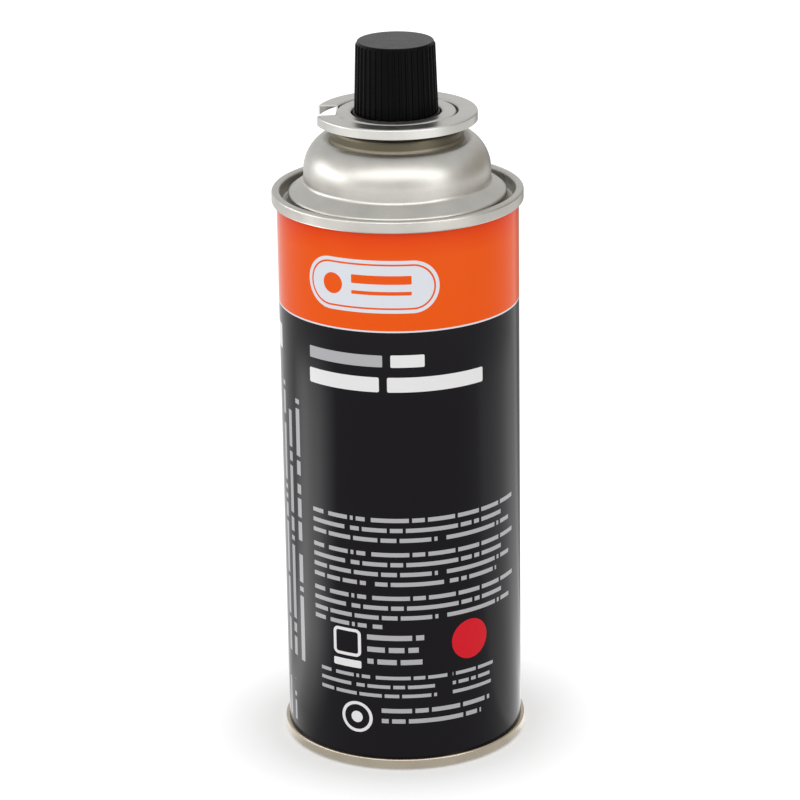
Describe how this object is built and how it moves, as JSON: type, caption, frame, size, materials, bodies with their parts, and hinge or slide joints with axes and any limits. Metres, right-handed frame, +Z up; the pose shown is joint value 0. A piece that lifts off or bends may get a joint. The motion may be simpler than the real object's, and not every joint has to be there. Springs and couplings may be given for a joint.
{
  "type": "fuel canister",
  "caption": "Upright sealed gas canister with a notched collar, a press valve and a ribbed pull-off cap; lacquered body, bare tinplate dome.",
  "frame": {"origin": "centre of the standing ring, on the surface that the canister stands on", "axes": "+Z up along the canister's axis, -X towards the collar's notch, -Y towards the picture's front"},
  "size_m": [0.0684, 0.0686, 0.199],
  "materials": {
    "lacquered_can": "glossy black and orange lacquer over tinplate",
    "tinplate": "bare satin tinplate",
    "black_rubber": "dull moulded rubber",
    "white_plastic": "natural acetal, satin",
    "spring_steel": "drawn stainless wire",
    "black_plastic": "satin moulded plastic"
  },
  "bodies": {
    "can": {"can": "lacquered_can", "notched_collar": "tinplate", "valve_cup": "tinplate", "cup_gasket": "black_rubber", "stem_gasket": "black_rubber", "valve_housing": "white_plastic", "vapour_tube": "white_plastic", "valve_spring": "spring_steel"},
    "stem": {"valve_stem": "white_plastic"},
    "cap": {"cap": "black_plastic"}
  },
  "joints": [
    {"name": "cap_lift", "type": "slide", "parent": "can", "child": "cap", "axis": [0, 0, 1], "range_m": [0, 0.03]},
    {"name": "stem_press", "type": "slide", "parent": "can", "child": "stem", "axis": [0, 0, -1], "range_m": [0, 0.0025], "stiffness_N_per_m": 2000, "springref_m": -0.001, "deforming": ["valve_spring"]}
  ]
}
